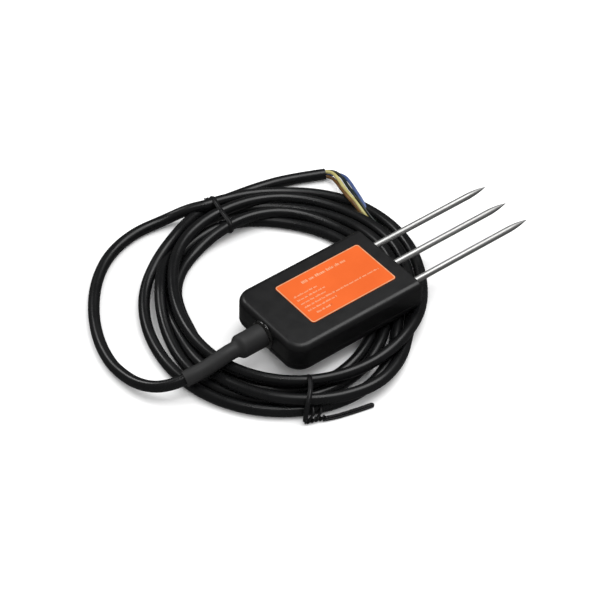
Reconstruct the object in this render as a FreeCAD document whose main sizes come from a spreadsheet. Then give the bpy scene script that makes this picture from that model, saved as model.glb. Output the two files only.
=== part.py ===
# Wired soil moisture probe: a potted two-part housing with its electronics, three steel needles,
# a shrink sleeve and a coiled lead with four bare cores. Millimetres. +X runs out along the
# needles, +Z is up, and the origin is the point where the centre needle leaves the housing.
import FreeCAD, Part
import Sketcher
import math
import os

DIMENSIONS = {
    # Housing, measured from the needle axis
    "housing_length": 70.0,
    "housing_width": 45.0,
    "top_height": 6.5,
    "seam_depth": 4.0,
    "base_depth": 8.5,
    "wall": 2.0,
    "cable_corner": 8.0,
    "top_round": 3.0,
    "base_round": 3.0,
    "front_round": 0.8,
    "seam_chamfer": 0.25,
    "lip_height": 1.5,
    "lip_width": 1.0,
    "spigot_radius": 4.4,
    "spigot_length": 12.0,
    # Needles
    "needle_radius": 1.5,
    "needle_length": 70.0,
    "needle_point": 12.0,
    "needle_root": 9.0,
    "needle_root_radius": 1.3,
    "needle_pitch": 14.0,
    # Label
    "label_length": 46.5,
    "label_width": 27.0,
    "label_thickness": 0.25,
    "label_corner": 1.5,
    "label_centre": 30.0,
    "label_offset": 0.7,
    # Circuit board and what it carries
    "board_length": 52.0,
    "board_width": 36.0,
    "board_thickness": 1.6,
    "board_front": 4.0,
    "leg_length": 1.0,
    "leg_width": 0.4,
    "leg_height": 0.5,
    "solder_length": 4.0,
    "solder_width": 5.2,
    "solder_set_back": 0.5,
    # Lead, sleeve and cores
    "lead_radius": 2.6,
    "lead_inner_end": 62.0,
    "sleeve_radius": 5.4,
    "sleeve_neck_radius": 3.6,
    "sleeve_neck_start": 86.0,
    "bead_radius": 1.2,
    "anchor_radius": 4.2,
    "anchor_width": 3.0,
    "inner_core_radius": 0.6,
    "core_radius": 0.8,
    "tip_radius": 0.5,
    "tip_length": 5.0,
    # Coil and ties: the lead lies on a surface this far below the needle axis
    "rest_depth": 13.9,
    "tie_width": 3.0,
    "tie_thickness": 0.9,
    "tie_lift": 0.1,
    "knot_radius": 1.44,
}

# The lead's middle line from its inner end to the sleeve's end, and how far each bend reaches
SLEEVE_ROUTE = [(-62, 0, 0), (-89.3, 0, 0), (-101, 0.6, -2.9), (-110, 2.6, -4.9)]
SLEEVE_BEND_REACH = 3.3

# The free loop from the sleeve to the coil, and the loose end from the coil to the cut jacket
LOOP_ROUTE = [
    (-110, 2.6, -4.9), (-114, 3.5, -5.8), (-120.9, 8, -7.6), (-125.6, 14.8, -9.3),
    (-127.4, 23, -10.5), (-126.6, 34, -11.2), (-123, 48.8, -11.3), (-115.6, 65.3, -11.3),
    (-103.8, 82, -11.3), (-89, 94, -11.3), (-70.5, 100.6, -11.3), (-51.5, 99.8, -11.3),
    (-37, 93.5, -11.3),
]
END_ROUTE = [(-19, 91.3, -11.3), (-7, 89, -11.3), (8.5, 83.4, -11.3), (24.3, 74.2, -11.3)]

# The coil's outer and inner outline: angle in degrees about its middle, and radius
COIL_MIDDLE = (-36, 24)
COIL_OUTSIDE = [
    (20, 68.2), (0, 65.6), (-21, 62.2), (-45, 60.8), (-67, 61.1), (-88, 64.6), (-104, 67.6),
    (-119, 74), (-135, 76.8), (-155, 75), (-178, 74), (165, 71.2), (148, 68.2), (128, 65.3),
    (108, 65), (98, 64.6), (87, 63.6), (77, 65.6), (62, 67.8), (45, 69.2), (32, 69.6),
]
COIL_INSIDE = [
    (18, 37), (55, 40.5), (83, 46.6), (104, 49), (122, 48.4), (145, 46), (171, 43), (-160, 44.2),
    (-135, 49), (-115, 50.5), (-93, 46.5), (-74, 43), (-45, 38.5), (-15, 36.5),
]

# Where the lug under the top tie is rooted in the coil
LUG_ROOT = (-28, 82, 0)

# Twist ties: middle, direction across the strands and span
TOP_TIE = {"middle": (-31.4, 83.2), "angle": 81.0, "span": 26.8}
BOTTOM_TIE = {"middle": (-72.2, -33.3), "angle": -135.5, "span": 25.0}
BOTTOM_KNOT = [(-80.8, -43.4, -12.2), (-73.5, -46, -12.2)]
TAIL_LENGTH = 24.2
TAIL_ANGLE = -13.6

# Each free core from the cut jacket, over the strands, to its bared tip
CORE_ROUTES = {
    "core_yellow": [
        (24.1, 73.9, -10.2), (26.9, 72.3, -9.9), (28.3, 69.3, -9.6), (27.9, 64.6, -8.5),
        (25.2, 58.5, -7.7), (21.8, 50, -7.7), (18.9, 38.8, -7.7),
    ],
    "core_brown": [
        (23.75, 73.3, -11.7), (26.4, 71.7, -11.6), (27.5, 68.7, -11), (26.1, 63.8, -8.3),
        (23, 57.8, -7.7), (19.7, 50.5, -7.7), (17.2, 40.5, -7.7),
    ],
    "core_blue": [
        (24.5, 74.5, -12.4), (27.6, 72.7, -12.2), (29.7, 69.6, -11.6), (30.2, 65.3, -10.5),
        (28.6, 59, -8.5), (25.9, 52, -7.7), (23, 44.5, -7.7), (20.6, 37.3, -7.7),
    ],
    "core_black": [
        (24.85, 75.1, -10.9), (28.6, 72.9, -10.9), (31.5, 69, -10.9), (32.1, 64, -10.6),
        (30.3, 57, -9), (27.8, 50.8, -7.7), (24.3, 42.5, -7.7), (21.6, 34.5, -7.7),
        (19.8, 27, -7.7),
    ],
}

# Board parts: length, width and height, then where each one stands (x, y)
PACKAGES = {
    "microcontroller": ((7, 7, 1.4), [(-27, 4)]),
    "bus_transceiver": ((4, 5, 1.5), [(-43, -7.5)]),
    "voltage_regulator": ((6.5, 3.5, 1.6), [(-42, 5)]),
    "crystal": ((11.4, 4.7, 3.5), [(-27, -5.5)]),
    "tantalum_capacitor": ((7.3, 4.3, 2.9), [(-34, 13.5)]),
    "power_inductor": ((6, 6, 3), [(-44, 13.5)]),
    "polarity_diode": ((2.6, 4.3, 2.2), [(-51, 13)]),
    "surge_diodes": ((4.3, 2.6, 2.2), [(-49, -12.5), (-42, -14.5)]),
    "temperature_sensor": ((2.9, 1.3, 1), [(-12, 5)]),
    "chip_capacitors": (
        (2, 1.25, 1.2),
        [(-20, 12), (-20, 15), (-24, 13.5), (-36, -11.5), (-36, -14.5), (-34, 0.5)],
    ),
    "chip_resistors": (
        (2, 1.25, 0.6),
        [(-15, -4.5), (-15, 9), (-15, -9.5), (-19, -12), (-23, -14.5), (-28, -12)],
    ),
}
# Legged packages: legs on each long side, and their pitch
LEGS = {"microcontroller": (8, 0.8), "bus_transceiver": (4, 1.27), "voltage_regulator": (3, 2.3)}

# The four cores inside the housing: start beside the lead's axis (y, z), and pad on the board (y)
INNER_CORES = {
    "brown": (0.9, 0.9, 6.0),
    "yellow": (0.9, -0.9, 2.0),
    "black": (-0.9, -0.9, -2.0),
    "blue": (-0.9, 0.9, -6.0),
}
INNER_CORE_SPAN = 12.0
INNER_CORE_BENDS = (2.5, 9.5)
PAD_GAP = 0.1
SOLDER_CONE = {"foot": 1.4, "top": 0.8, "height": 1.6}

# How near to a plane or a point something counts as lying on it
TOUCH = 0.01

doc = FreeCAD.newDocument("SoilProbe")
sheet = doc.addObject("Spreadsheet::Sheet", "dims")
subparts = []


def fill_sheet():
    """One row for each driving dimension: its name, its value and its alias."""
    values = dict(DIMENSIONS)
    for name, (sizes, spots) in PACKAGES.items():
        for side, value in zip(("length", "width", "height"), sizes):
            values["%s_%s" % (name, side)] = value
    for row, (alias, value) in enumerate(values.items(), start=1):
        sheet.set("A%d" % row, alias)
        sheet.set("B%d" % row, str(value))
        sheet.setAlias("B%d" % row, alias)
    doc.recompute()


def size(name):
    """A driving dimension as a plain number."""
    return float(sheet.get(name))


def vectors(points):
    return [FreeCAD.Vector(*point) for point in points]


def keep(item, label):
    """Register a document object as a finished sub-part under its own name."""
    item.Label = label
    subparts.append(item)
    return item


# ---------------------------------------------------------------- sketches and features


def sketch_on(body, name, role, lift="0"):
    """Sketch on one of the body's own origin planes, lifted along that plane's normal."""
    sketch = body.newObject("Sketcher::SketchObject", name)
    plane = next(item for item in body.Origin.OriginFeatures if item.Role == role)
    sketch.AttachmentSupport = [(plane, "")]
    sketch.MapMode = "FlatFace"
    sketch.setExpression("AttachmentOffset.Base.z", lift)
    return sketch


def outline(sketch, corners, arcs=None):
    """Closed outline through corners given as expressions, listed anticlockwise.

    arcs gives the radius of each side that bulges outward, by the number of its first corner.
    """
    arcs = arcs or {}
    offset = sketch.GeometryCount
    spots = []
    for across, along in corners:
        spots.append(FreeCAD.Vector(sheet.evalExpression(across), sheet.evalExpression(along), 0))
    ends = []
    for number, spot in enumerate(spots):
        following = spots[(number + 1) % len(spots)]
        if number in arcs:
            radius = sheet.evalExpression(arcs[number])
            chord = following - spot
            rise = radius - math.sqrt(radius ** 2 - chord.Length ** 2 / 4)
            outward = FreeCAD.Vector(chord.y, -chord.x, 0).normalize()
            middle = (spot + following) / 2 + outward * rise
            index = sketch.addGeometry(Part.Arc(spot, middle, following), False)
        else:
            index = sketch.addGeometry(Part.LineSegment(spot, following), False)
        forward = sketch.Geometry[index].StartPoint.isEqual(spot, 1e-5)
        ends.append((1, 2) if forward else (2, 1))
    for number, corner in enumerate(corners):
        before = (number - 1) % len(corners)
        start = ends[number][0]
        sketch.addConstraint(Sketcher.Constraint(
            "Coincident", offset + before, ends[before][1], offset + number, start))
        for kind, expression in zip(("DistanceX", "DistanceY"), corner):
            value = sheet.evalExpression(expression)
            place = Sketcher.Constraint(kind, -1, 1, offset + number, start, value)
            index = sketch.addConstraint(place)
            sketch.setExpression("Constraints[%d]" % index, expression)
    for number, expression in arcs.items():
        value = sheet.evalExpression(expression)
        index = sketch.addConstraint(Sketcher.Constraint("Radius", offset + number, value))
        sketch.setExpression("Constraints[%d]" % index, expression)
    return sketch


def circle(sketch, across, along, radius):
    """Circle about a point, all three given as expressions."""
    centre = FreeCAD.Vector(sheet.evalExpression(across), sheet.evalExpression(along), 0)
    value = sheet.evalExpression(radius)
    ring = sketch.addGeometry(Part.Circle(centre, FreeCAD.Vector(0, 0, 1), value), False)
    for kind, expression in (("DistanceX", across), ("DistanceY", along)):
        value = sheet.evalExpression(expression)
        index = sketch.addConstraint(Sketcher.Constraint(kind, -1, 1, ring, 3, value))
        sketch.setExpression("Constraints[%d]" % index, expression)
    index = sketch.addConstraint(Sketcher.Constraint("Radius", ring, sheet.evalExpression(radius)))
    sketch.setExpression("Constraints[%d]" % index, radius)


def feature(body, kind, name, sketch, length, away=False):
    """Pad or Pocket from a sketch. A Pocket must really remove material."""
    before = body.Shape.Volume if body.Tip else 0.0
    item = body.newObject("PartDesign::" + kind, name)
    item.Profile = sketch
    item.Reversed = away
    item.setExpression("Length", length)
    doc.recompute()
    if kind == "Pocket" and body.Shape.Volume > before - TOUCH:
        raise RuntimeError(name + " cuts nothing")
    return item


def revolve(body, name, corners, arcs=None):
    """Solid of revolution about X, from an outline in the XZ plane."""
    sketch = outline(sketch_on(body, name + "_outline", "XZ_Plane"), corners, arcs)
    item = body.newObject("PartDesign::Revolution", name)
    item.Profile = sketch
    item.ReferenceAxis = (sketch, ["H_Axis"])
    item.Angle = 360
    doc.recompute()
    return item


def dress(body, kind, name, size_expression, wanted):
    """Fillet or Chamfer on the edges of the body's last shape for which wanted(edge box) is true."""
    base = body.Tip
    names = []
    for number, edge in enumerate(base.Shape.Edges, start=1):
        if wanted(edge.BoundBox):
            names.append("Edge%d" % number)
    item = body.newObject("PartDesign::" + kind, name)
    item.Base = (base, names)
    item.setExpression("Radius" if kind == "Fillet" else "Size", size_expression)
    doc.recompute()
    return item


def level_with(box, height):
    """True for an edge that lies at one height."""
    return abs(box.ZMin - height) < TOUCH and abs(box.ZMax - height) < TOUCH


def flat_at(height):
    """Edges that lie at one height, apart from the one along the needle end."""
    return lambda box: level_with(box, height) and box.XMin < -TOUCH


def seam_edges(height):
    """Every edge that lies on the seam."""
    return lambda box: level_with(box, height)


def on_front(seam):
    """Edges on the needle end, apart from the one at the seam."""
    def test(box):
        on_end = abs(box.XMin) < TOUCH and abs(box.XMax) < TOUCH
        return on_end and not level_with(box, seam)
    return test


# ---------------------------------------------------------------- housing


def housing_outline(sketch, inset):
    """The housing's plan, pulled in by an inset: round at the cable end, square at the needles."""
    back = "-dims.housing_length + %s" % inset
    turn = "-dims.housing_length + dims.cable_corner"
    front = "-(%s)" % inset
    side = "dims.housing_width / 2 - (%s)" % inset
    bend = "dims.housing_width / 2 - dims.cable_corner"
    radius = "dims.cable_corner - (%s)" % inset
    corners = [
        (turn, "-(%s)" % side), (front, "-(%s)" % side), (front, side),
        (turn, side), (back, bend), (back, "-(%s)" % bend),
    ]
    return outline(sketch, corners, {3: radius, 5: radius})


def add_housing_shell():
    """Upper shell: open below, with cable spigot, needle bores and a rebate for the cover's lip."""
    body = doc.addObject("PartDesign::Body", "housing_shell")
    plan = housing_outline(sketch_on(body, "shell_plan", "XY_Plane", "-dims.seam_depth"), "0")
    feature(body, "Pad", "shell_block", plan, "dims.seam_depth + dims.top_height")
    dress(body, "Fillet", "shell_top_round", "dims.top_round", flat_at(size("top_height")))
    dress(body, "Fillet", "shell_front_round", "dims.front_round", on_front(-size("seam_depth")))
    dress(body, "Chamfer", "shell_seam", "dims.seam_chamfer", seam_edges(-size("seam_depth")))
    plan = housing_outline(sketch_on(body, "cavity_plan", "XY_Plane", "-dims.seam_depth"), "dims.wall")
    feature(body, "Pocket", "cavity", plan, "dims.seam_depth + dims.top_height - dims.wall", True)
    rebate = "dims.wall - dims.lip_width"
    plan = housing_outline(sketch_on(body, "rebate_plan", "XY_Plane", "-dims.seam_depth"), rebate)
    feature(body, "Pocket", "rebate", plan, "dims.lip_height", True)
    ring = sketch_on(body, "spigot_ring", "YZ_Plane", "-dims.housing_length")
    circle(ring, "0", "0", "dims.spigot_radius")
    feature(body, "Pad", "spigot", ring, "dims.spigot_length", True)
    ring = sketch_on(body, "cable_bore_ring", "YZ_Plane", "-dims.housing_length - dims.spigot_length")
    circle(ring, "0", "0", "dims.lead_radius")
    feature(body, "Pocket", "cable_bore", ring, "dims.spigot_length + dims.wall", True)
    bores = sketch_on(body, "needle_bore_rings", "YZ_Plane")
    for side in ("-dims.needle_pitch", "0", "dims.needle_pitch"):
        circle(bores, side, "0", "dims.needle_root_radius")
    feature(body, "Pocket", "needle_bores", bores, "dims.wall")
    return keep(body, "housing_shell")


def add_base_cover():
    """Tray that closes the housing below, with a lip that stands in the shell's rebate."""
    body = doc.addObject("PartDesign::Body", "base_cover")
    plan = housing_outline(sketch_on(body, "cover_plan", "XY_Plane", "-dims.base_depth"), "0")
    feature(body, "Pad", "cover_block", plan, "dims.base_depth - dims.seam_depth")
    dress(body, "Fillet", "cover_base_round", "dims.base_round", flat_at(-size("base_depth")))
    dress(body, "Fillet", "cover_front_round", "dims.front_round", on_front(-size("seam_depth")))
    dress(body, "Chamfer", "cover_seam", "dims.seam_chamfer", seam_edges(-size("seam_depth")))
    lip = "dims.wall - dims.lip_width"
    plan = housing_outline(sketch_on(body, "lip_plan", "XY_Plane", "-dims.seam_depth"), lip)
    feature(body, "Pad", "lip", plan, "dims.lip_height")
    top = "-dims.seam_depth + dims.lip_height"
    plan = housing_outline(sketch_on(body, "recess_plan", "XY_Plane", top), "dims.wall")
    depth = "dims.base_depth - dims.seam_depth + dims.lip_height - dims.wall"
    feature(body, "Pocket", "recess", plan, depth)
    return keep(body, "base_cover")


def add_label():
    """Printed sticker on the top face."""
    body = doc.addObject("PartDesign::Body", "label")
    left = "-dims.label_centre - dims.label_length / 2"
    right = "-dims.label_centre + dims.label_length / 2"
    low = "dims.label_offset - dims.label_width / 2"
    high = "dims.label_offset + dims.label_width / 2"
    plan = sketch_on(body, "label_plan", "XY_Plane", "dims.top_height")
    outline(plan, [(left, low), (right, low), (right, high), (left, high)])
    feature(body, "Pad", "label_sheet", plan, "dims.label_thickness")
    dress(body, "Fillet", "label_corners", "dims.label_corner",
          lambda box: box.ZLength > size("label_thickness") / 2)
    return keep(body, "label")


def add_needles():
    """Three steel needles with ogive points. Their roots, inside the housing, are turned down."""
    root = "-dims.needle_root"
    shoulder = "dims.needle_length - dims.needle_point"
    curve = "(dims.needle_point ^ 2 + dims.needle_radius ^ 2) / (2 * dims.needle_radius)"
    corners = [
        (root, "0"), ("dims.needle_length", "0"), (shoulder, "dims.needle_radius"),
        ("0", "dims.needle_radius"), ("0", "dims.needle_root_radius"),
        (root, "dims.needle_root_radius"),
    ]
    needles = []
    for name, step in (("left", "1"), ("centre", "0"), ("right", "-1")):
        body = doc.addObject("PartDesign::Body", "probe_" + name)
        revolve(body, "needle_" + name, corners, {1: curve})
        body.setExpression("Placement.Base.y", "%s * dims.needle_pitch" % step)
        needles.append(keep(body, "probe_" + name))
    return needles


# ---------------------------------------------------------------- electronics


def block(name, key, spot):
    """Box with a package's sizes, its base on the board's upper face and its middle at a spot."""
    item = doc.addObject("Part::Box", name)
    for side in ("Length", "Width", "Height"):
        item.setExpression(side, "dims.%s_%s" % (key, side.lower()))
    item.setExpression("Placement.Base.x", "%g - dims.%s_length / 2" % (spot[0], key))
    item.setExpression("Placement.Base.y", "%g - dims.%s_width / 2" % (spot[1], key))
    item.setExpression("Placement.Base.z", "-dims.needle_radius")
    return item


def leg_row(name, key, spot, count, pitch):
    """Legs along both long sides of a package."""
    legs = []
    for side in (-1, 1):
        for number in range(count):
            leg = doc.addObject("Part::Box", "%s_leg" % name)
            leg.setExpression("Length", "dims.leg_width")
            leg.setExpression("Width", "dims.leg_length")
            leg.setExpression("Height", "dims.leg_height")
            along = spot[0] + (number - (count - 1) / 2) * pitch
            leg.setExpression("Placement.Base.x", "%g - dims.leg_width / 2" % along)
            reach = "dims.%s_width / 2" % key
            start = reach if side > 0 else "-%s - dims.leg_length" % reach
            leg.setExpression("Placement.Base.y", "%g + %s" % (spot[1], start))
            leg.setExpression("Placement.Base.z", "-dims.needle_radius")
            legs.append(leg)
    return legs


def fuse(name, pieces):
    item = doc.addObject("Part::MultiFuse", name)
    item.Shapes = pieces
    return item


def add_board():
    body = doc.addObject("PartDesign::Body", "circuit_board")
    lift = "-dims.needle_radius - dims.board_thickness"
    left = "-dims.board_front - dims.board_length"
    corners = [
        (left, "-dims.board_width / 2"), ("-dims.board_front", "-dims.board_width / 2"),
        ("-dims.board_front", "dims.board_width / 2"), (left, "dims.board_width / 2"),
    ]
    plan = outline(sketch_on(body, "board_plan", "XY_Plane", lift), corners)
    feature(body, "Pad", "board_sheet", plan, "dims.board_thickness")
    return keep(body, "circuit_board")


def add_packages():
    """Everything soldered to the board. Repeated chips share one sub-part."""
    items = []
    for name, (sizes, spots) in PACKAGES.items():
        blocks = []
        for number, spot in enumerate(spots, start=1):
            blocks.append(block("%s_body_%d" % (name, number), name, spot))
            if name in LEGS:
                blocks.extend(leg_row(name, name, spot, *LEGS[name]))
        item = blocks[0] if len(blocks) == 1 else fuse(name + "_group", blocks)
        items.append(keep(item, name))
    return items


def add_probe_solder(needles):
    """A bead of solder under and beside each needle's root."""
    beads = []
    left = "-dims.board_front - dims.solder_set_back - dims.solder_length"
    for number in (-1, 0, 1):
        low = "%d * dims.needle_pitch - dims.solder_width / 2" % number
        bead = doc.addObject("Part::Box", "probe_bead")
        bead.setExpression("Length", "dims.solder_length")
        bead.setExpression("Width", "dims.solder_width")
        bead.setExpression("Height", "dims.needle_radius")
        bead.setExpression("Placement.Base.x", left)
        bead.setExpression("Placement.Base.y", low)
        bead.setExpression("Placement.Base.z", "-dims.needle_radius")
        beads.append(bead)
    cut = doc.addObject("Part::Cut", "probe_solder_cut")
    cut.Base = fuse("probe_beads", beads)
    cut.Tool = fuse("needle_group", needles)
    return keep(cut, "probe_solder")


# ---------------------------------------------------------------- lead, sleeve and cores


def rounded_path(points, reach=None):
    """Straight runs joined by tangent arcs. Returns the wire and its smallest radius."""
    edges = []
    radii = []
    start = points[0]
    for before, corner, after in zip(points, points[1:], points[2:]):
        back = before - corner
        ahead = after - corner
        half_turn = (math.pi - back.getAngle(ahead)) / 2
        step = reach or 0.45 * min(back.Length, ahead.Length)
        back.normalize()
        ahead.normalize()
        radius = step / math.tan(half_turn)
        inward = (back + ahead).normalize()
        middle = corner + inward * (radius / math.cos(half_turn) - radius)
        edges.append(Part.LineSegment(start, corner + back * step).toShape())
        edges.append(Part.Arc(corner + back * step, middle, corner + ahead * step).toShape())
        start = corner + ahead * step
        radii.append(radius)
    edges.append(Part.LineSegment(start, points[-1]).toShape())
    return Part.Wire(edges), min(radii)


def tube(points, radius, reach=None, label=None):
    """Solid round bar along a route. Its volume must match its section times its length."""
    path, tightest = rounded_path(points, reach)
    direction = points[1] - points[0]
    ring = Part.Wire(Part.makeCircle(radius, points[0], direction))
    bar = path.makePipeShell([ring], True, False)
    ideal = math.pi * radius ** 2 * path.Length
    if label:
        print("%s: length %.1f, tightest radius %.1f, volume ratio %.4f"
              % (label, path.Length, tightest, bar.Volume / ideal))
    if abs(bar.Volume / ideal - 1) > 0.02:
        raise RuntimeError("tube volume is off")
    return bar


def add_shape(name, shape):
    item = doc.addObject("Part::Feature", name)
    item.Shape = shape
    return keep(item, name)


def add_lead_entry():
    """The lead's end inside the sleeve, the spigot and the housing."""
    bar = tube(vectors(SLEEVE_ROUTE), size("lead_radius"), SLEEVE_BEND_REACH, "lead_entry")
    return add_shape("lead_entry", bar)


def add_anchor_ring():
    """Ring crimped on the lead just inside the end wall, so that the lead can't be pulled out."""
    body = doc.addObject("PartDesign::Body", "anchor_ring")
    right = "-dims.housing_length + dims.wall + dims.anchor_width"
    left = "-dims.housing_length + dims.wall"
    revolve(body, "anchor", [
        (left, "dims.lead_radius"), (right, "dims.lead_radius"),
        (right, "dims.anchor_radius"), (left, "dims.anchor_radius"),
    ])
    return keep(body, "anchor_ring")


def add_sleeve():
    """Shrunk sleeve: wide over the spigot, a smooth shoulder, then a neck that follows the lead."""
    wide_end = -size("housing_length") - size("spigot_length")
    neck = -size("sleeve_neck_start")
    wide = size("sleeve_radius")
    narrow = size("sleeve_neck_radius")
    start = -size("housing_length")
    shoulder = Part.BSplineCurve()
    shoulder.buildFromPoles([
        FreeCAD.Vector(wide_end, 0, wide), FreeCAD.Vector((wide_end + neck) / 2, 0, wide),
        FreeCAD.Vector((wide_end + neck) / 2, 0, narrow), FreeCAD.Vector(neck, 0, narrow),
    ])
    profile = Part.Wire([
        Part.makeLine((start, 0, 0), (start, 0, wide)),
        Part.makeLine((start, 0, wide), (wide_end, 0, wide)),
        shoulder.toShape(),
        Part.makeLine((neck, 0, narrow), (neck, 0, 0)),
        Part.makeLine((neck, 0, 0), (start, 0, 0)),
    ])
    turned = Part.Face(profile).revolve(FreeCAD.Vector(), FreeCAD.Vector(1, 0, 0), 360)
    route = [FreeCAD.Vector(neck, 0, 0)] + vectors(SLEEVE_ROUTE)[1:]
    sleeve = turned.fuse(tube(route, narrow, SLEEVE_BEND_REACH - 0.001))
    over_spigot = Part.makeCylinder(
        size("spigot_radius"), size("spigot_length"),
        FreeCAD.Vector(start, 0, 0), FreeCAD.Vector(-1, 0, 0))
    lead = tube(vectors(SLEEVE_ROUTE), size("lead_radius"), SLEEVE_BEND_REACH)
    return add_shape("shrink_sleeve", sleeve.cut(over_spigot).cut(lead).removeSplitter())


def add_adhesive_bead():
    """Hot-melt adhesive squeezed out where the sleeve meets the housing."""
    body = doc.addObject("PartDesign::Body", "adhesive_bead")
    foot = "-dims.housing_length"
    revolve(body, "bead", [
        (foot + " - dims.bead_radius", "dims.sleeve_radius"), (foot, "dims.sleeve_radius"),
        (foot, "dims.sleeve_radius + dims.bead_radius"),
    ], {2: "dims.bead_radius"})
    return keep(body, "adhesive_bead")


def add_inner_cores():
    """Four insulated cores from the lead's inner end to the board's pads."""
    start = -size("lead_inner_end")
    height = -size("needle_radius") + size("inner_core_radius") + PAD_GAP
    first, second = INNER_CORE_BENDS
    cores = []
    for colour, (across, up, pad) in INNER_CORES.items():
        route = [
            (start, across, up), (start + first, across, up),
            (start + second, pad, height), (start + INNER_CORE_SPAN, pad, height),
        ]
        bar = tube(vectors(route), size("inner_core_radius"), None, "inner_core_" + colour)
        cores.append(add_shape("inner_core_" + colour, bar))
    return cores


def add_core_solder(cores):
    """A cone of solder over each core's end on the board."""
    cones = []
    end = -size("lead_inner_end") + INNER_CORE_SPAN
    foot, top, height = SOLDER_CONE["foot"], SOLDER_CONE["top"], SOLDER_CONE["height"]
    for across, up, pad in INNER_CORES.values():
        spot = FreeCAD.Vector(end, pad, -size("needle_radius"))
        cones.append(Part.makeCone(foot, top, height, spot))
    solder = Part.makeCompound(cones)
    for core in cores:
        solder = solder.cut(core.Shape)
    return add_shape("core_solder", solder)


def add_potting(inside):
    """Resin that fills the housing round everything in it."""
    body = doc.addObject("PartDesign::Body", "potting_block")
    lift = "-dims.base_depth + dims.wall"
    plan = housing_outline(sketch_on(body, "potting_plan", "XY_Plane", lift), "dims.wall")
    feature(body, "Pad", "potting_pad", plan, "dims.base_depth + dims.top_height - 2 * dims.wall")
    cut = doc.addObject("Part::Cut", "potting_cut")
    cut.Base = body
    cut.Tool = fuse("potted_group", inside)
    return keep(cut, "potting_resin")


# ---------------------------------------------------------------- coil, ties and free cores


def ring_curve(outline_points):
    """Smooth closed curve on the resting surface, from angles and radii about the coil's middle."""
    spots = []
    for angle, radius in outline_points:
        turn = math.radians(angle)
        spots.append(FreeCAD.Vector(
            COIL_MIDDLE[0] + radius * math.cos(turn), COIL_MIDDLE[1] + radius * math.sin(turn),
            -size("rest_depth")))
    curve = Part.BSplineCurve()
    curve.interpolate(Points=spots, PeriodicFlag=True)
    return Part.Face(Part.Wire([curve.toShape()]))


def end_face_edge(route, last):
    """The two points, level with the lead's sides, between which a tube's end face stands."""
    points = vectors(route)
    tip = points[-1] if last else points[0]
    direction = points[-1] - points[-2] if last else points[1] - points[0]
    side = FreeCAD.Vector(-direction.y, direction.x, 0).normalize() * size("lead_radius")
    return [tip - side, tip + side]


def add_coil(ties):
    """Closed outer shape of the five turns, with the bundle under the top tie as a lug between the
    loop's end face and the loose end's first face. The ties pass under it in notches."""
    ring = ring_curve(COIL_OUTSIDE).cut(ring_curve(COIL_INSIDE))
    low_in, high_in = end_face_edge(LOOP_ROUTE, True)
    low_out, high_out = end_face_edge(END_ROUTE, False)
    corners = [low_in, high_in, high_out, low_out, FreeCAD.Vector(*LUG_ROOT), low_in]
    lug = Part.Face(Part.makePolygon([FreeCAD.Vector(c.x, c.y, -size("rest_depth")) for c in corners]))
    rise = FreeCAD.Vector(0, 0, 2 * size("lead_radius"))
    coil = ring.extrude(rise).fuse(lug.extrude(rise))
    for tie in ties:
        coil = coil.cut(tie.Shape)
    return add_shape("lead_coil", coil.removeSplitter())


def tie_band(tie):
    """Flat strip bent round the coil's cross-section, its underside just above the resting surface."""
    span = tie["span"]
    width = size("tie_width")
    thick = size("tie_thickness")
    lift = size("tie_lift")
    lead = 2 * size("lead_radius")
    outer = Part.makeBox(span, width, lead + thick, FreeCAD.Vector(-span / 2, -width / 2, lift))
    inner = Part.makeBox(
        span - 2 * thick, width, lead - thick - lift,
        FreeCAD.Vector(thick - span / 2, -width / 2, thick + lift))
    band = outer.cut(inner)
    band.Placement = FreeCAD.Placement(
        FreeCAD.Vector(tie["middle"][0], tie["middle"][1], -size("rest_depth")),
        FreeCAD.Rotation(FreeCAD.Vector(0, 0, 1), tie["angle"]))
    return band


def add_bottom_tie():
    """The lower tie: its band, the twisted knot outside the coil and a flat tail on the surface."""
    first, second = vectors(BOTTOM_KNOT)
    knot = Part.makeCylinder(size("knot_radius"), (second - first).Length, first, second - first)
    thick = size("tie_thickness")
    width = size("tie_width")
    tail = Part.makeBox(TAIL_LENGTH, width, thick, FreeCAD.Vector(0, -width / 2, 0))
    tail.Placement = FreeCAD.Placement(
        FreeCAD.Vector(second.x, second.y, second.z - thick),
        FreeCAD.Rotation(FreeCAD.Vector(0, 0, 1), TAIL_ANGLE))
    return add_shape("tie_bottom", tie_band(BOTTOM_TIE).fuse(knot).fuse(tail))


def add_free_cores():
    """Four insulated cores out of the cut jacket, each ending in a bared tinned tip."""
    tips = []
    for name, route in CORE_ROUTES.items():
        points = vectors(route)
        add_shape(name, tube(points, size("core_radius"), None, name))
        direction = points[-1] - points[-2]
        tips.append(Part.makeCylinder(size("tip_radius"), size("tip_length"), points[-1], direction))
    return add_shape("core_tips", Part.makeCompound(tips))


def check_all():
    """Stop if anything in the document failed."""
    for item in doc.Objects:
        if "Invalid" in item.State or "Error" in item.State:
            raise RuntimeError("%s is %s" % (item.Name, item.State))
    for item in subparts:
        if item.Shape.isNull() or not item.Shape.isValid():
            raise RuntimeError(item.Label + " has no valid shape")


def build():
    fill_sheet()
    add_housing_shell()
    add_base_cover()
    add_label()
    needles = add_needles()
    inside = list(needles)
    inside.append(add_probe_solder(needles))
    inside.append(add_board())
    inside.extend(add_packages())
    inside.append(add_lead_entry())
    inside.append(add_anchor_ring())
    cores = add_inner_cores()
    inside.extend(cores)
    inside.append(add_core_solder(cores))
    add_potting(inside)
    add_sleeve()
    add_adhesive_bead()
    add_shape("lead_loop", tube(vectors(LOOP_ROUTE), size("lead_radius"), None, "lead_loop"))
    add_shape("lead_end", tube(vectors(END_ROUTE), size("lead_radius"), None, "lead_end"))
    top_tie = add_shape("tie_top", tie_band(TOP_TIE))
    bottom_tie = add_bottom_tie()
    add_coil([top_tie, bottom_tie])
    add_free_cores()
    doc.recompute()
    check_all()


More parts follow.
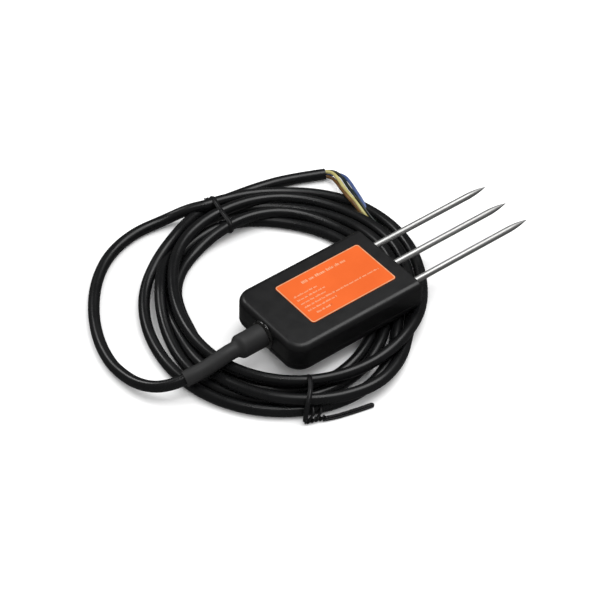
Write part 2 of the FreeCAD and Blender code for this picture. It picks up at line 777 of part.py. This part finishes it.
build()
os.makedirs("parts", exist_ok=True)
for item in subparts:
    item.Shape.exportStep("parts/%s.step" % item.Label)
print("%d sub-parts written" % len(subparts))
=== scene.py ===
"""Looks for the soil moisture sensor.

The housing, label, needles and sleeve stay as CAD nodes and get their finishes. The lead in its
coil, the four free cores, the ties and the printing are built here.
"""

import math
import random

import bmesh
import bpy
from mathutils import Matrix, Vector


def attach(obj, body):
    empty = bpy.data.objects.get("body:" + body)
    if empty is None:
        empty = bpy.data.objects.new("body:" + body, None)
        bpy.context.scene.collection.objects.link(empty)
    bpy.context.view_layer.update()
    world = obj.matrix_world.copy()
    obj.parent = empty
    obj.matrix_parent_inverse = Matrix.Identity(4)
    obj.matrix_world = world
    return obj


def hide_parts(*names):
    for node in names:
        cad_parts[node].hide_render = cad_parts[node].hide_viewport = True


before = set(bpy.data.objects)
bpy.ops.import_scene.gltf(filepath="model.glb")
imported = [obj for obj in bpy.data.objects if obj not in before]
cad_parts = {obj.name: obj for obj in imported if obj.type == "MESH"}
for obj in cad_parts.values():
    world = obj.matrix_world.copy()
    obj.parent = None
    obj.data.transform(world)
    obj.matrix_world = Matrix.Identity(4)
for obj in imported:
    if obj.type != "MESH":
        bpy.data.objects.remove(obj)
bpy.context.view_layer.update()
MM = 0.001

# ---------------------------------------------------------------- sizes, in millimetres
LEAD = 5.2
CORE = 1.6
TIP = 1.0
TIP_LENGTH = 3
FLOOR = -13.9
FLOOR_MIDDLE = FLOOR + LEAD / 2

# The lead from the sleeve round to the top tie, and from the tie to the end of its jacket.
LOOP_ROUTE = [
    (-110, 2.6, -4.9), (-114, 3.5, -5.8), (-120.7, 8, -7.6), (-124.6, 15.3, -9.3),
    (-126, 23.5, -10.5), (-126.2, 34, -11.2), (-122.5, 48.5, -11.3), (-114.4, 64.5, -11.3),
    (-102, 80, -11.3), (-87.5, 90.8, -11.3), (-70.2, 95.8, -11.3), (-54.5, 94.2, -11),
    (-44, 89.7, -6.6), (-36, 85.6, -5.4),
]
END_ROUTE = [(-18.8, 88.2, -11.3), (-6.8, 86.6, -11.3), (9.2, 82.6, -11.3), (24.7, 75, -11)]

CORE_ROUTES = {
    "yellow": [
        (24.4, 75.1, -9.7), (26.8, 73.6, -9.5), (26.5, 68.6, -9.1), (24.4, 62.4, -8.5),
        (22.3, 55.8, -7.5), (21.3, 49, -7.4), (21.6, 42.6, -10.9), (22, 39.4, -12.7), (22.3, 36.5, -12.9),
    ],
    "brown": [
        (24, 74, -11.4), (26.1, 72.2, -11.6), (25.3, 67.2, -10.8), (22.7, 61, -9),
        (20.6, 54.4, -7.5), (20, 48.6, -7.7), (20.8, 43.8, -11), (21.3, 41.2, -12.7), (21.7, 39, -12.9),
    ],
    "black": [
        (25.3, 76, -10.7), (28.8, 74.4, -10.6), (30, 69, -11.1), (27.6, 62.6, -10.3),
        (25, 56, -8.3), (23.4, 49, -7.9), (23, 41.4, -11), (23.2, 36, -12.7), (23.3, 31.5, -12.9),
    ],
    "blue": [
        (24.9, 75.3, -12.2), (28.9, 73.4, -11.9), (30.9, 68.2, -10.6), (28.9, 61.6, -9.2),
        (26.2, 55, -7.6), (24.3, 48, -7.7), (23.6, 41.8, -10.9), (23.6, 38.4, -12.7), (23.6, 35.5, -12.9),
    ],
}

# The coil: clockwise turns about one middle. A row is one turn, and holds the radius and the
# lift above the floor at every 30 degrees, from the top tie round.
COIL_MIDDLE = (-36, 24)
COIL_START = 84
COIL_STEP = 30
COIL_TURNS = [
    [(61.1, 5.2), (64.2, 0), (64.6, 0), (61.5, 0), (58.2, 0), (59.2, 5.6),
     (61.4, 5.8), (62, 5.4), (59.2, 5.0), (53.8, 4.9), (52, 5.2), (54.2, 5.2)],
    [(55, 5.2), (58.8, 1.8), (57.2, 0), (55.6, 0), (53, 0), (57.4, 0),
     (71, 3.8), (72.4, 5.1), (65.8, 3.3), (56.4, 0), (56, 0), (53.6, 0)],
    [(50.4, 0), (43, 0), (39.8, 0), (39, 0), (38, 0), (41.4, 0),
     (51.9, 0), (62.4, 0), (60.6, 0), (51.1, 0), (50.8, 0), (48.4, 0)],
    [(45.8, 4.8), (47.6, 2.8), (45.4, 0), (44.5, 0), (43.2, 0), (46.6, 0),
     (57.6, 0), (67.8, 0), (69.4, 0), (61.8, 0.6), (57.4, 4.4), (58.8, 0)],
    [(58.2, 0), (53.4, 0), (51.4, 0), (50.1, 0), (48.2, 0), (51.8, 0),
     (67, 0), (74.1, 0), (74.4, 0), (69.1, 0), (64.2, 1.4), (59.1, 4.8)],
]
COIL_END = [(65.2, 0.4)]

# The ties: the strap's route over the bundle, the twist that closes it, and the tail.
STRAP = 2.1
STRAP_THICKNESS = 0.55
STRAP_RIB = 0.5
TAIL = 2.5
TAIL_THICKNESS = 0.75
TAIL_TOOTH_PITCH = 0.9
KNOT_WIRE_RADIUS = 0.6
TWIST_SIDES = 10
BOTTOM_STRAP = [
    (-71, -32, -13), (-68, -26.8, -12.9), (-66.1, -25, -10), (-66.6, -26.2, -6),
    (-68, -29.2, -2.6), (-71, -33.8, -2.5), (-74, -37.2, -2.6), (-77.7, -40.3, -4.5),
    (-79.7, -41.6, -8), (-79.9, -41.6, -12.7),
]
BOTTOM_TWIST = [(-80.6, -41.8, -12.4), (-76, -43.2, -12.3), (-71.6, -45.2, -12.4)]
KNOT_WIRES = [
    [(-70.4, -38.6, -9.5), (-71.4, -41.4, -8.8), (-73.4, -44, -10.4), (-76.5, -43.4, -12.6)],
    [(-74.5, -39.4, -8.2), (-75.6, -41.9, -8.6), (-77.4, -43.2, -10.6), (-79.6, -41.8, -12.6)],
]
BOTTOM_TAIL = [
    (-73, -44.6, -13.1), (-69, -46.4, -13.2), (-63, -48.1, -13.3), (-56.5, -49.7, -13.3),
    (-50.3, -51.1, -13.2),
]
TOP_STRAP = [
    (-30.4, 89, -13), (-29.7, 91.2, -12.8), (-29.6, 92.2, -10.6), (-30.8, 90, -6.4),
    (-32.6, 86, -3.1), (-33.8, 81, -3.2), (-34.5, 76, -4.1), (-35.2, 71.2, -4.1),
    (-35.9, 67.6, -5.4), (-36, 67.4, -8.8), (-35.8, 69.8, -10.6), (-35.4, 73, -12.5),
    (-35, 76, -13),
]
TOP_TWIST = [(-29.2, 90.7, -10.2), (-30.2, 92.8, -9.4), (-31.8, 93.6, -10.2)]

# The printing on the label, as bars: where each line starts along X, its Y, its length and height.
LABEL_TOP = 6.75
LABEL_MIDDLE = (-30, 0.7)
LABEL_SIZE = (46.5, 27)
LABEL_CORNER = 1.35
RIM_WIDTH = 0.38
RIM_INSET = 0.12
TITLE = (-41.8, 9.5, 24, 1.6)
LINES = [
    (-50.3, 4.2, 12.5, 0.95), (-50.3, 1.7, 15, 0.95), (-50.3, -0.8, 13.5, 0.95),
    (-50.3, -3.3, 41, 0.95), (-50.3, -5.8, 15.5, 0.95), (-47.8, -8.6, 8, 1.1),
]


# ---------------------------------------------------------------- small helpers
def metres(points):
    return [Vector(p) * MM for p in points]


def halfway(before, first, second, after):
    """The value midway between two knots of a smooth line through four."""
    return (9 * (first + second) - before - after) / 16


def coil_points():
    """The control points of the turns, two for every knot of the rows."""
    knots = [knot for row in COIL_TURNS for knot in row] + COIL_END
    points = []
    for i, (radius, lift) in enumerate(knots):
        points.append((COIL_START - i * COIL_STEP, radius, lift))
        if i + 1 < len(knots):
            near = [knots[max(0, i - 1)], knots[i], knots[i + 1], knots[min(i + 2, len(knots) - 1)]]
            radius, lift = (halfway(*values) for values in zip(*near))
            points.append((COIL_START - (i + 0.5) * COIL_STEP, radius, max(0, lift)))
    grow = 1 / math.cos(math.radians(COIL_STEP / 4))
    return [
        (
            COIL_MIDDLE[0] + radius * grow * math.cos(math.radians(angle)),
            COIL_MIDDLE[1] + radius * grow * math.sin(math.radians(angle)),
            FLOOR_MIDDLE + lift,
        )
        for angle, radius, lift in points
    ]


def nurbs(name, points, radius=0.0, resolution=12):
    """One open NURBS spline through control points in metres."""
    curve = bpy.data.curves.new(name, "CURVE")
    curve.dimensions = "3D"
    curve.resolution_u = resolution
    curve.bevel_depth = radius
    curve.bevel_resolution = 6
    curve.use_fill_caps = True
    spline = curve.splines.new("NURBS")
    spline.points.add(len(points) - 1)
    for place, point in zip(spline.points, points):
        place.co = (*point, 1)
    spline.order_u = 3
    spline.use_endpoint_u = True
    obj = bpy.data.objects.new(name, curve)
    bpy.context.collection.objects.link(obj)
    return obj


def line_of(points, resolution=12):
    """Points along the NURBS spline of a route."""
    obj = nurbs("line", points, 0.0, resolution)
    mesh = bpy.data.meshes.new_from_object(obj)
    line = [v.co.copy() for v in mesh.vertices]
    curve = obj.data
    bpy.data.objects.remove(obj)
    bpy.data.curves.remove(curve)
    bpy.data.meshes.remove(mesh)
    return line


def length_of(line):
    return sum((b - a).length for a, b in zip(line, line[1:]))


def mesh_object(name, verts, faces, smooth=True):
    mesh = bpy.data.meshes.new(name)
    mesh.from_pydata([tuple(v) for v in verts], [], faces)
    mesh.validate()
    if smooth:
        mesh.shade_smooth()
    obj = bpy.data.objects.new(name, mesh)
    bpy.context.collection.objects.link(obj)
    return obj


# ---------------------------------------------------------------- materials
class Material:
    """A node material with a Principled shader and a few ways to add detail."""

    def __init__(self, name, colour, roughness=0.5, metallic=0.0):
        self.material = bpy.data.materials.new(name)
        self.material.use_nodes = True
        self.tree = self.material.node_tree
        self.shader = self.tree.nodes["Principled BSDF"]
        self.shader.inputs["Base Color"].default_value = (*colour, 1)
        self.shader.inputs["Roughness"].default_value = roughness
        self.shader.inputs["Metallic"].default_value = metallic
        self.place = self.tree.nodes.new("ShaderNodeTexCoord")
        self.normal = None

    def put(self, name, value):
        self.shader.inputs[name].default_value = value
        return self

    def noise(self, scale, detail=4, stretch=(1, 1, 1)):
        mapping = self.tree.nodes.new("ShaderNodeMapping")
        mapping.inputs["Scale"].default_value = stretch
        self.tree.links.new(self.place.outputs["Object"], mapping.inputs["Vector"])
        node = self.tree.nodes.new("ShaderNodeTexNoise")
        node.inputs["Scale"].default_value = scale
        node.inputs["Detail"].default_value = detail
        self.tree.links.new(mapping.outputs["Vector"], node.inputs["Vector"])
        return node.outputs["Fac"]

    def bump(self, value, distance, strength=1.0):
        node = self.tree.nodes.new("ShaderNodeBump")
        node.inputs["Distance"].default_value = distance
        node.inputs["Strength"].default_value = strength
        self.tree.links.new(value, node.inputs["Height"])
        if self.normal is not None:
            self.tree.links.new(self.normal, node.inputs["Normal"])
        self.normal = node.outputs["Normal"]
        self.tree.links.new(self.normal, self.shader.inputs["Normal"])
        return self

    def vary(self, value, socket, low, high, start=0.35, stop=0.65):
        """Lets a value between start and stop drive a number or a colour of the shader."""
        if isinstance(low, tuple):
            node = self.tree.nodes.new("ShaderNodeValToRGB")
            node.color_ramp.elements[0].position = start
            node.color_ramp.elements[0].color = (*low, 1)
            node.color_ramp.elements[1].position = stop
            node.color_ramp.elements[1].color = (*high, 1)
            self.tree.links.new(value, node.inputs["Fac"])
            self.tree.links.new(node.outputs["Color"], self.shader.inputs[socket])
        else:
            node = self.tree.nodes.new("ShaderNodeMapRange")
            node.inputs["From Min"].default_value = start
            node.inputs["From Max"].default_value = stop
            node.inputs["To Min"].default_value = low
            node.inputs["To Max"].default_value = high
            self.tree.links.new(value, node.inputs["Value"])
            self.tree.links.new(node.outputs["Result"], self.shader.inputs[socket])
        return self


def moulded_plastic():
    m = Material("moulded_plastic", (0.0052, 0.0052, 0.0057), 0.36)
    m.put("Coat Weight", 0.12).put("Coat Roughness", 0.12)
    m.vary(m.noise(180, 5), "Roughness", 0.36, 0.44)
    m.vary(m.noise(60, 3), "Base Color", (0.0036, 0.0036, 0.004), (0.0046, 0.0046, 0.005))
    return m.bump(m.noise(3200, 3), 0.00002, 0.35).bump(m.noise(140, 2), 0.00006, 0.2).material


def base_plastic():
    m = Material("base_plastic", (0.004, 0.004, 0.0045), 0.4)
    m.vary(m.noise(150, 5), "Roughness", 0.4, 0.54)
    return m.bump(m.noise(3200, 3), 0.00002, 0.4).material


def cable_jacket():
    m = Material("cable_jacket", (0.0042, 0.0044, 0.0048), 0.36)
    m.vary(m.noise(90, 4), "Roughness", 0.24, 0.34)
    m.vary(m.noise(40, 3), "Base Color", (0.0034, 0.0036, 0.004), (0.005, 0.0052, 0.0056))
    return m.bump(m.noise(1400, 3), 0.00003, 0.3).bump(m.noise(45, 2), 0.0002, 0.15).material


def heat_shrink():
    m = Material("heat_shrink", (0.015, 0.015, 0.0157), 0.6)
    m.vary(m.noise(120, 4), "Roughness", 0.5, 0.64)
    m.vary(m.noise(70, 3), "Base Color", (0.0125, 0.0125, 0.013), (0.0175, 0.0175, 0.018))
    return m.bump(m.noise(260, 3, (0.3, 1, 1)), 0.0002, 0.3).bump(m.noise(2600, 2), 0.00003, 0.3).material


def hot_adhesive():
    m = Material("hot_adhesive", (0.007, 0.0068, 0.0066), 0.16)
    m.put("Coat Weight", 0.5)
    return m.bump(m.noise(420, 2), 0.0002, 0.4).material


def bright_steel():
    m = Material("bright_steel", (0.7, 0.7, 0.69), 0.46, 1.0)
    m.vary(m.noise(500, 3, (0.03, 1, 1)), "Roughness", 0.42, 0.52)
    return m.material


def label_film():
    m = Material("label_film", (0.62, 0.1, 0.014), 0.5)
    m.put("Specular IOR Level", 0.12)
    m.vary(m.noise(60, 3), "Base Color", (0.6, 0.095, 0.013), (0.64, 0.106, 0.016))
    return m.bump(m.noise(900, 2), 0.00001, 0.2).material


def label_print():
    m = Material("label_print", (0.62, 0.28, 0.15), 0.5)
    m.put("Specular IOR Level", 0.12)
    m.vary(m.noise(900, 3), "Base Color", (0.6, 0.22, 0.1), (0.64, 0.32, 0.19))
    return m.material


def label_edge():
    m = Material("label_edge", (0.5, 0.28, 0.15), 0.5)
    m.put("Specular IOR Level", 0.12)
    m.vary(m.noise(300, 3), "Base Color", (0.48, 0.24, 0.12), (0.55, 0.34, 0.2))
    return m.material


def core_insulation(name, dark, light):
    m = Material(name, light, 0.38)
    m.vary(m.noise(160, 3), "Base Color", dark, light)
    m.vary(m.noise(220, 3), "Roughness", 0.32, 0.46)
    return m.bump(m.noise(900, 2), 0.00003, 0.2).material


def tinned_copper():
    m = Material("tinned_copper", (0.62, 0.6, 0.57), 0.32, 1.0)
    m.vary(m.noise(800, 3), "Roughness", 0.25, 0.45)
    return m.bump(m.noise(1800, 3), 0.00004, 0.5).material


def tie_plastic():
    m = Material("tie_plastic", (0.005, 0.005, 0.0056), 0.3)
    m.vary(m.noise(240, 3), "Roughness", 0.26, 0.42)
    return m.bump(m.noise(700, 2), 0.00004, 0.3).material


def plain(name, colour, roughness, metallic=0.0, scale=400):
    """A quiet finish for a piece that the housing hides."""
    m = Material(name, colour, roughness, metallic)
    darker = tuple(0.8 * c for c in colour)
    m.vary(m.noise(scale, 3), "Base Color", darker, colour)
    return m.bump(m.noise(scale * 4, 2), 0.00002, 0.3).material


MATERIALS = {
    "plastic": moulded_plastic(),
    "base": base_plastic(),
    "jacket": cable_jacket(),
    "sleeve": heat_shrink(),
    "adhesive": hot_adhesive(),
    "steel": bright_steel(),
    "label": label_film(),
    "print": label_print(),
    "edge": label_edge(),
    "tie": tie_plastic(),
    "tinned": tinned_copper(),
    "yellow": core_insulation("core_yellow_skin", (0.34, 0.29, 0.09), (0.46, 0.42, 0.17)),
    "brown": core_insulation("core_brown_skin", (0.09, 0.042, 0.01), (0.14, 0.066, 0.016)),
    "blue": core_insulation("core_blue_skin", (0.03, 0.055, 0.16), (0.06, 0.095, 0.23)),
    "black": core_insulation("core_black_skin", (0.008, 0.013, 0.011), (0.014, 0.022, 0.018)),
    "board": plain("green_board", (0.02, 0.14, 0.05), 0.4),
    "chip": plain("chip_black", (0.02, 0.02, 0.022), 0.5),
    "tantalum": plain("tantalum_amber", (0.65, 0.38, 0.06), 0.45),
    "ferrite": plain("ferrite_grey", (0.06, 0.06, 0.065), 0.7),
    "ceramic": plain("ceramic_tan", (0.5, 0.4, 0.28), 0.5),
    "can": plain("metal_can", (0.6, 0.6, 0.6), 0.3, 1.0),
    "solder": plain("solder_bright", (0.65, 0.65, 0.66), 0.3, 1.0),
    "crimp": plain("crimp_brass", (0.7, 0.66, 0.6), 0.35, 1.0),
    "resin": plain("potting_black", (0.015, 0.015, 0.015), 0.25),
}

NODE_MATERIALS = {
    "housing_shell": "plastic", "base_cover": "base", "label": "label",
    "probe_left": "steel", "probe_centre": "steel", "probe_right": "steel",
    "probe_solder": "solder", "circuit_board": "board", "microcontroller": "chip",
    "bus_transceiver": "chip", "voltage_regulator": "chip", "crystal": "can",
    "tantalum_capacitor": "tantalum", "power_inductor": "ferrite", "polarity_diode": "chip",
    "surge_diodes": "chip", "temperature_sensor": "chip", "chip_capacitors": "ceramic",
    "chip_resistors": "chip", "lead_entry": "jacket", "anchor_ring": "crimp",
    "inner_core_brown": "brown", "inner_core_yellow": "yellow", "inner_core_black": "black",
    "inner_core_blue": "blue", "core_solder": "solder", "potting_resin": "resin",
    "shrink_sleeve": "sleeve", "adhesive_bead": "adhesive",
}


def dress_nodes():
    """Gives every CAD node that stays its own finish."""
    for node, key in NODE_MATERIALS.items():
        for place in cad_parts[node].material_slots:
            place.material = MATERIALS[key]


# ---------------------------------------------------------------- pieces
def build_lead():
    points = metres(LOOP_ROUTE + coil_points() + END_ROUTE)
    lead = nurbs("lead", points, LEAD / 2 * MM)
    lead.data.materials.append(MATERIALS["jacket"])
    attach(lead, "root")
    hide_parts("lead_loop", "lead_coil", "lead_end")
    return lead, length_of(line_of(points))


def build_core(colour):
    points = metres(CORE_ROUTES[colour])
    core = nurbs("core_wire_" + colour, points, CORE / 2 * MM)
    core.data.materials.append(MATERIALS[colour])
    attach(core, "root")
    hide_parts("core_" + colour)
    line = line_of(points)
    return core, points[0], length_of(line), line


def build_tip(colour, line):
    """The stripped strands at the end of a core, tinned together into a short pin."""
    end = line[-1]
    along = (line[-1] - line[-2]).normalized()
    points = [end - along * MM, end + along * MM, end + along * TIP_LENGTH * MM]
    tip = nurbs("core_tip_" + colour, points, TIP / 2 * MM, 6)
    tip.data.materials.append(MATERIALS["tinned"])
    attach(tip, "root")
    return tip


def sweep(name, line, normals, section):
    """A closed mesh along a line: section(distance) gives each ring as (across, out) pairs."""
    verts = []
    travelled = 0.0
    for i, point in enumerate(line):
        ahead = line[min(i + 1, len(line) - 1)] - line[max(i - 1, 0)]
        travelled += (point - line[i - 1]).length if i else 0
        along = ahead.normalized()
        out = (normals[i] - along * along.dot(normals[i])).normalized()
        side = along.cross(out)
        verts += [point + side * x + out * y for x, y in section(travelled)]
    count = len(verts) // len(line)
    faces = [tuple(range(count))[::-1], tuple(range(len(verts) - count, len(verts)))]
    for i in range(len(line) - 1):
        for j in range(count):
            k = (j + 1) % count
            a, b = i * count, (i + 1) * count
            faces.append((a + j, a + k, b + k, b + j))
    obj = mesh_object(name, verts, faces)
    mesh = bmesh.new()
    mesh.from_mesh(obj.data)
    bmesh.ops.recalc_face_normals(mesh, faces=mesh.faces)
    mesh.to_mesh(obj.data)
    mesh.free()
    return obj


def strap_section(width, thickness):
    """A soft strap with a round rib along its middle."""
    half, deep, rib = width / 2 * MM, thickness / 2 * MM, STRAP_RIB * MM
    ring = [(-half, -deep * 0.5), (-half * 0.9, -deep), (half * 0.9, -deep), (half, -deep * 0.5)]
    ring += [(half, deep * 0.5), (half * 0.9, deep), (rib, deep), (rib * 0.6, deep + rib * 0.7)]
    ring += [(-rib * 0.6, deep + rib * 0.7), (-rib, deep), (-half * 0.9, deep), (-half, deep * 0.5)]
    return lambda distance: ring


def tail_section(width, thickness, length):
    """The tail: a raised lip along each edge, small teeth between them and a rounded end."""
    def ring(distance):
        left = max(0.0, length - distance)
        nose = width / 2 * MM
        narrow = 1 if left > nose else math.sqrt(max(0.04, 1 - (1 - left / nose) ** 2))
        half = nose * narrow
        deep = thickness / 2 * MM
        tooth = deep * (0.35 + 0.3 * math.sin(math.tau * distance / (TAIL_TOOTH_PITCH * MM)))
        pairs = [(-half, -deep * 0.6), (-half * 0.85, -deep), (half * 0.85, -deep)]
        pairs += [(half, -deep * 0.6), (half, deep * 0.7), (half * 0.86, deep * 1.3)]
        pairs += [(half * 0.62, deep * 1.1), (half * 0.5, tooth), (0, tooth * 1.1)]
        pairs += [(-half * 0.5, tooth), (-half * 0.62, deep * 1.1), (-half * 0.86, deep * 1.3)]
        return pairs + [(-half, deep * 0.7)]
    return ring


def build_strap(name, route, node):
    line = line_of(metres(route), 8)
    middle = sum(line, Vector()) / len(line)
    normals = [point - middle for point in line]
    strap = sweep(name, line, normals, strap_section(STRAP, STRAP_THICKNESS))
    strap.data.materials.append(MATERIALS["tie"])
    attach(strap, "root")
    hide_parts(node)
    return strap


def build_twist(name, route, radius=0.62, turns=2.6, thick=0.6):
    """Two ends of a tie wound round each other."""
    line = line_of(metres(route), 16)
    verts = []
    faces = []
    for strand in range(2):
        rings = []
        for i, point in enumerate(line):
            ahead = (line[min(i + 1, len(line) - 1)] - line[max(i - 1, 0)]).normalized()
            side = ahead.cross(Vector((0, 0, 1))).normalized()
            up = side.cross(ahead)
            turn = math.tau * (turns * i / (len(line) - 1) + strand / 2)
            centre = point + (side * math.cos(turn) + up * math.sin(turn)) * radius * MM
            rings.append([
                centre + (side * math.cos(b) + up * math.sin(b)) * thick * MM
                for b in (math.tau * k / TWIST_SIDES for k in range(TWIST_SIDES))
            ])
        start = len(verts)
        verts += [v for ring in rings for v in ring]
        faces.append(tuple(range(start, start + TWIST_SIDES))[::-1])
        faces.append(tuple(range(len(verts) - TWIST_SIDES, len(verts))))
        for i in range(len(rings) - 1):
            for j in range(TWIST_SIDES):
                k = (j + 1) % TWIST_SIDES
                a = start + i * TWIST_SIDES
                b = a + TWIST_SIDES
                faces.append((a + j, a + k, b + k, b + j))
    twist = mesh_object(name, verts, faces)
    twist.data.materials.append(MATERIALS["tie"])
    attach(twist, "root")
    return twist


def build_knot_wire(name, route):
    wire = nurbs(name, metres(route), KNOT_WIRE_RADIUS * MM)
    wire.data.materials.append(MATERIALS["tie"])
    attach(wire, "root")
    return wire


def build_tail(name, route):
    line = line_of(metres(route), 40)
    normals = [Vector((0, 0, 1))] * len(line)
    tail = sweep(name, line, normals, tail_section(TAIL, TAIL_THICKNESS, length_of(line)))
    tail.data.materials.append(MATERIALS["tie"])
    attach(tail, "root")
    return tail


def plate(low, high, bottom, top, corner):
    """Corners and faces of a thin rectangular plate, cut slightly at its corners."""
    x0, y0 = low
    x1, y1 = high
    c = corner
    outline = [(x0 + c, y0), (x1 - c, y0), (x1, y0 + c), (x1, y1 - c)]
    outline += [(x1 - c, y1), (x0 + c, y1), (x0, y1 - c), (x0, y0 + c)]
    verts = [(x, y, bottom) for x, y in outline] + [(x, y, top) for x, y in outline]
    count = len(outline)
    faces = [tuple(range(count))[::-1], tuple(range(count, 2 * count))]
    faces += [(i, (i + 1) % count, count + (i + 1) % count, count + i) for i in range(count)]
    return verts, faces


def printed(name, plates, key):
    """One piece from many small shapes given in millimetres."""
    verts = []
    faces = []
    for some_verts, some_faces in plates:
        start = len(verts)
        verts += [Vector(v) * MM for v in some_verts]
        faces += [tuple(start + i for i in face) for face in some_faces]
    obj = mesh_object(name, verts, faces, False)
    obj.data.materials.append(MATERIALS[key])
    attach(obj, "root")
    return obj


def build_print():
    """Generic printing: lines of word-length bars that spell nothing."""
    dice = random.Random(7)
    plates = []
    for start, y, length, height in [TITLE] + LINES:
        x = start
        while x < start + length:
            word = height * dice.uniform(1.2, 3.4)
            end = min(x + word, start + length)
            letter = x
            while letter < end:
                wide = height * dice.uniform(0.32, 0.5)
                tall = height * dice.choice([0.72, 0.72, 1.0])
                plates.append(
                    plate((letter, y - height / 2), (min(letter + wide, end), y - height / 2 + tall),
                          LABEL_TOP - 0.01, LABEL_TOP + 0.015, 0.08)
                )
                letter += wide + height * 0.16
            x = end + height * 0.55
    return printed("label_printing", plates, "print")


def build_label_rim():
    """The pale cut edge of the label, as one thin ring with rounded corners."""
    half_x, half_y = LABEL_SIZE[0] / 2, LABEL_SIZE[1] / 2
    x, y = LABEL_MIDDLE
    low, high = LABEL_TOP - 0.01, LABEL_TOP + 0.012
    inset = LABEL_CORNER + RIM_INSET
    outline = []
    for sign_x, sign_y, first in ((1, 1, 0), (-1, 1, 90), (-1, -1, 180), (1, -1, 270)):
        for k in range(5):
            a = math.radians(first + k * 22.5)
            middle = (x + sign_x * (half_x - inset), y + sign_y * (half_y - inset))
            outline.append((middle, (math.cos(a), math.sin(a))))
    verts = []
    for radius in (LABEL_CORNER, LABEL_CORNER - RIM_WIDTH):
        for height in (low, high):
            verts += [(mx + radius * ca, my + radius * sa, height) for (mx, my), (ca, sa) in outline]
    n = len(outline)
    faces = []
    for i in range(n):
        k = (i + 1) % n
        faces += [(n + i, n + k, 3 * n + k, 3 * n + i), (i, k, n + k, n + i)]
        faces += [(2 * n + k, 2 * n + i, 3 * n + i, 3 * n + k), (k, i, 2 * n + i, 2 * n + k)]
    return printed("label_rim", [(verts, faces)], "edge")


lead, lead_length = build_lead()
cores = {}
for colour in CORE_ROUTES:
    cores[colour] = build_core(colour)
    build_tip(colour, cores[colour][3])
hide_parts("core_tips")

ties = [
    build_strap("tie_bottom_strap", BOTTOM_STRAP, "tie_bottom"),
    build_twist("tie_bottom_twist", BOTTOM_TWIST),
    build_tail("tie_bottom_tail", BOTTOM_TAIL),
]
ties += [
    build_knot_wire("tie_bottom_wire_%d" % number, route) for number, route in enumerate(KNOT_WIRES)
]
ties.append(build_strap("tie_top_strap", TOP_STRAP, "tie_top"))
ties.append(build_twist("tie_top_twist", TOP_TWIST, 0.4, 1.1, 0.5))

build_print()
build_label_rim()
dress_nodes()


# ---------------------------------------------------------------- stage, light and camera
def build_floor():
    size = 6.0
    corners = [(-size, -size), (size, -size), (size, size), (-size, size)]
    floor = mesh_object("floor", [(x, y, FLOOR * MM) for x, y in corners], [(0, 1, 2, 3)], False)
    m = Material("pale_floor", (0.95, 0.95, 0.95), 0.95)
    m.put("Specular IOR Level", 0.0)
    floor.data.materials.append(m.material)
    floor.visible_glossy = False


def area_light(name, place, target, size, power):
    data = bpy.data.lights.new(name, "AREA")
    data.shape = "SQUARE"
    data.size = size
    data.energy = power
    light = bpy.data.objects.new(name, data)
    light.location = place
    light.rotation_euler = (Vector(target) - Vector(place)).to_track_quat("-Z", "Y").to_euler()
    bpy.context.collection.objects.link(light)
    return light


def build_lights():
    """A pale room for the floor, darker in the object's gloss, and soft boxes above."""
    world = bpy.data.worlds.new("studio")
    world.use_nodes = True
    tree = world.node_tree
    background = tree.nodes["Background"]
    background.inputs["Color"].default_value = (1, 1, 1, 1)
    path = tree.nodes.new("ShaderNodeLightPath")
    level = tree.nodes.new("ShaderNodeMapRange")
    level.inputs["To Min"].default_value = 1.0
    level.inputs["To Max"].default_value = 0.08
    tree.links.new(path.outputs["Is Glossy Ray"], level.inputs["Value"])
    tree.links.new(level.outputs["Result"], background.inputs["Strength"])
    bpy.context.scene.world = world
    middle = Vector((-0.04, 0.015, 0))
    area_light("overhead", middle + Vector((0.27, -0.03, 0.6)), middle, 0.46, 2.2)
    area_light("behind", middle + Vector((-0.16, 0.5, 0.48)), middle, 0.2, 0.8)
    area_light("corner_left", middle + Vector((-0.15, -0.03, 0.7)), middle, 0.025, 0.2)
    area_light("corner_right", middle + Vector((-0.02, -0.15, 0.7)), middle, 0.025, 0.2)


def build_camera():
    azimuth = math.radians(39.66)
    elevation = math.radians(44.14)
    roll = math.radians(1.78)
    target = Vector((-37.96, 14.91, -10.0)) * MM
    distance = 1.0
    flat = math.cos(elevation)
    forward = Vector((math.sin(azimuth) * flat, math.cos(azimuth) * flat, -math.sin(elevation)))
    level = Vector((math.cos(azimuth), -math.sin(azimuth), 0))
    upward = level.cross(forward)
    right = level * math.cos(roll) + upward * math.sin(roll)
    up = upward * math.cos(roll) - level * math.sin(roll)
    data = bpy.data.cameras.new("camera")
    data.sensor_width = 36
    data.lens = 136.146
    data.clip_end = 20
    camera = bpy.data.objects.new("camera", data)
    turn = Matrix((right, up, -forward)).transposed().to_4x4()
    camera.matrix_world = Matrix.Translation(target - forward * distance) @ turn
    bpy.context.collection.objects.link(camera)
    bpy.context.scene.camera = camera


build_floor()
build_lights()
build_camera()
bpy.context.scene.view_settings.view_transform = "Standard"
